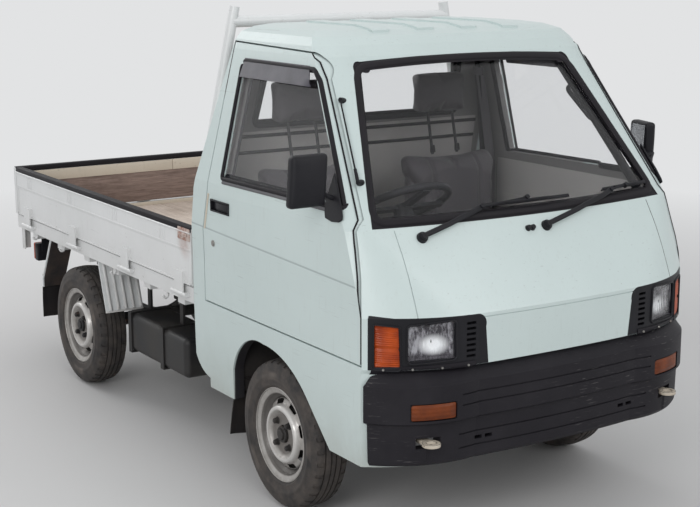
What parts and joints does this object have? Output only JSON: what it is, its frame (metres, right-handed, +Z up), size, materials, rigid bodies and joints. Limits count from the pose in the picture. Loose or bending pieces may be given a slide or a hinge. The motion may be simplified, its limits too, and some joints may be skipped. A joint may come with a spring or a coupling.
{
  "type": "kei truck",
  "caption": "Small cab-over truck with a drop-side load bed, hinged doors, steered front wheels and a guard frame behind the cab.",
  "frame": {"origin": "on the ground, at the middle of the truck's length and width", "axes": "+Z up, front of the truck faces -Y, driver's side is -X"},
  "size_m": [1.6651, 3.2989, 1.7499],
  "materials": {
    "body_paint": "pale mint gloss paint with light wear",
    "white_paint": "white paint, scuffed and rusty at edges",
    "frame_black": "black chassis paint with road dirt",
    "bumper_black": "dark textured plastic",
    "trim_black": "black plastic",
    "seal_rubber": "black window rubber",
    "screen_glass": "clear safety glass",
    "lamp_glass": "clear fluted lamp lens",
    "amber_lens": "amber lens",
    "red_lens": "red and amber lens",
    "dash_plastic": "dark grained plastic",
    "seat_vinyl": "dark grey vinyl",
    "floor_mat": "dark floor mat over painted sheet",
    "engine_metal": "dull cast metal",
    "tank_steel": "black painted steel",
    "exhaust_steel": "steel with light rust",
    "wheel_silver": "silver wheel paint with brake dust",
    "tyre_rubber": "tyre rubber",
    "plank_wood": "weathered boards",
    "flap_rubber": "rubber sheet"
  },
  "bodies": {
    "root": {"chassis_frame": "frame_black", "cab_floor": "floor_mat", "cab_side_right": "body_paint", "cab_side_left": "body_paint", "nose_panel": "body_paint", "roof_panel": "body_paint", "rear_wall": "body_paint", "windshield": "screen_glass", "rear_window": "screen_glass", "window_seals": "seal_rubber", "bumper": "bumper_black", "lamp_bezels": "trim_black", "headlamps": "lamp_glass", "amber_lamps": "amber_lens", "wipers": "trim_black", "antenna": "trim_black", "dashboard": "dash_plastic", "seat_driver": "seat_vinyl", "seat_passenger": "seat_vinyl", "steering_column": "trim_black", "gear_lever": "trim_black", "engine": "engine_metal", "rear_axle": "frame_black", "leaf_springs": "frame_black", "front_suspension": "frame_black", "fuel_tank": "tank_steel", "exhaust": "exhaust_steel", "bed_frame": "white_paint", "bed_planks": "plank_wood", "guard_frame": "white_paint", "rear_fenders": "white_paint", "mud_flaps": "flap_rubber", "tail_lamps": "red_lens"},
    "door_right": {"door_right": "body_paint", "door_glass_right": "screen_glass", "mirror_right": "trim_black"},
    "door_left": {"door_left": "body_paint", "door_glass_left": "screen_glass", "mirror_left": "trim_black"},
    "gate_right": {"gate_right": "white_paint"},
    "gate_left": {"gate_left": "white_paint"},
    "gate_rear": {"gate_rear": "white_paint"},
    "knuckle_right": {"knuckle_right": "frame_black"},
    "knuckle_left": {"knuckle_left": "frame_black"},
    "steering_wheel": {"steering_wheel": "trim_black"},
    "wheel_front_right": {"rim_front_right": "wheel_silver", "tyre_front_right": "tyre_rubber"},
    "wheel_front_left": {"rim_front_left": "wheel_silver", "tyre_front_left": "tyre_rubber"},
    "wheel_rear_right": {"rim_rear_right": "wheel_silver", "tyre_rear_right": "tyre_rubber"},
    "wheel_rear_left": {"rim_rear_left": "wheel_silver", "tyre_rear_left": "tyre_rubber"}
  },
  "joints": [
    {"name": "door_right_swing", "type": "hinge", "parent": "root", "child": "door_right", "pos_m": [-0.694, -1.484, 0.9], "axis": [0, 0, 1], "range_deg": [0, 65]},
    {"name": "door_left_swing", "type": "hinge", "parent": "root", "child": "door_left", "pos_m": [0.694, -1.484, 0.9], "axis": [0, 0, -1], "range_deg": [0, 65]},
    {"name": "gate_right_drop", "type": "hinge", "parent": "root", "child": "gate_right", "pos_m": [-0.699, 0.65, 0.65], "axis": [0, -1, 0], "range_deg": [0, 178]},
    {"name": "gate_left_drop", "type": "hinge", "parent": "root", "child": "gate_left", "pos_m": [0.699, 0.65, 0.65], "axis": [0, 1, 0], "range_deg": [0, 178]},
    {"name": "gate_rear_drop", "type": "hinge", "parent": "root", "child": "gate_rear", "pos_m": [0, 1.641, 0.65], "axis": [-1, 0, 0], "range_deg": [0, 178]},
    {"name": "steer_right", "type": "hinge", "parent": "root", "child": "knuckle_right", "pos_m": [-0.55, -0.913, 0.19], "axis": [0.1739, 0, 0.9848], "range_deg": [-33, 33]},
    {"name": "steer_left", "type": "hinge", "parent": "root", "child": "knuckle_left", "pos_m": [0.55, -0.913, 0.19], "axis": [-0.1739, 0, 0.9848], "range_deg": [-33, 33]},
    {"name": "steering_wheel_turn", "type": "hinge", "parent": "root", "child": "steering_wheel", "pos_m": [-0.32, -1.16, 1.1], "axis": [0, 0.5, 0.866], "range_deg": [-528, 528]},
    {"name": "spin_front_right", "type": "hinge", "parent": "knuckle_right", "child": "wheel_front_right", "pos_m": [-0.607, -0.913, 0.27], "axis": [1, 0, 0], "continuous": true},
    {"name": "spin_front_left", "type": "hinge", "parent": "knuckle_left", "child": "wheel_front_left", "pos_m": [0.607, -0.913, 0.27], "axis": [1, 0, 0], "continuous": true},
    {"name": "spin_rear_right", "type": "hinge", "parent": "root", "child": "wheel_rear_right", "pos_m": [-0.607, 0.926, 0.27], "axis": [1, 0, 0], "continuous": true},
    {"name": "spin_rear_left", "type": "hinge", "parent": "root", "child": "wheel_rear_left", "pos_m": [0.607, 0.926, 0.27], "axis": [1, 0, 0], "continuous": true}
  ],
  "couplings": [
    {"joint": "steer_left", "follows": "steer_right", "ratio": 1},
    {"joint": "steering_wheel_turn", "follows": "steer_right", "ratio": 16}
  ]
}
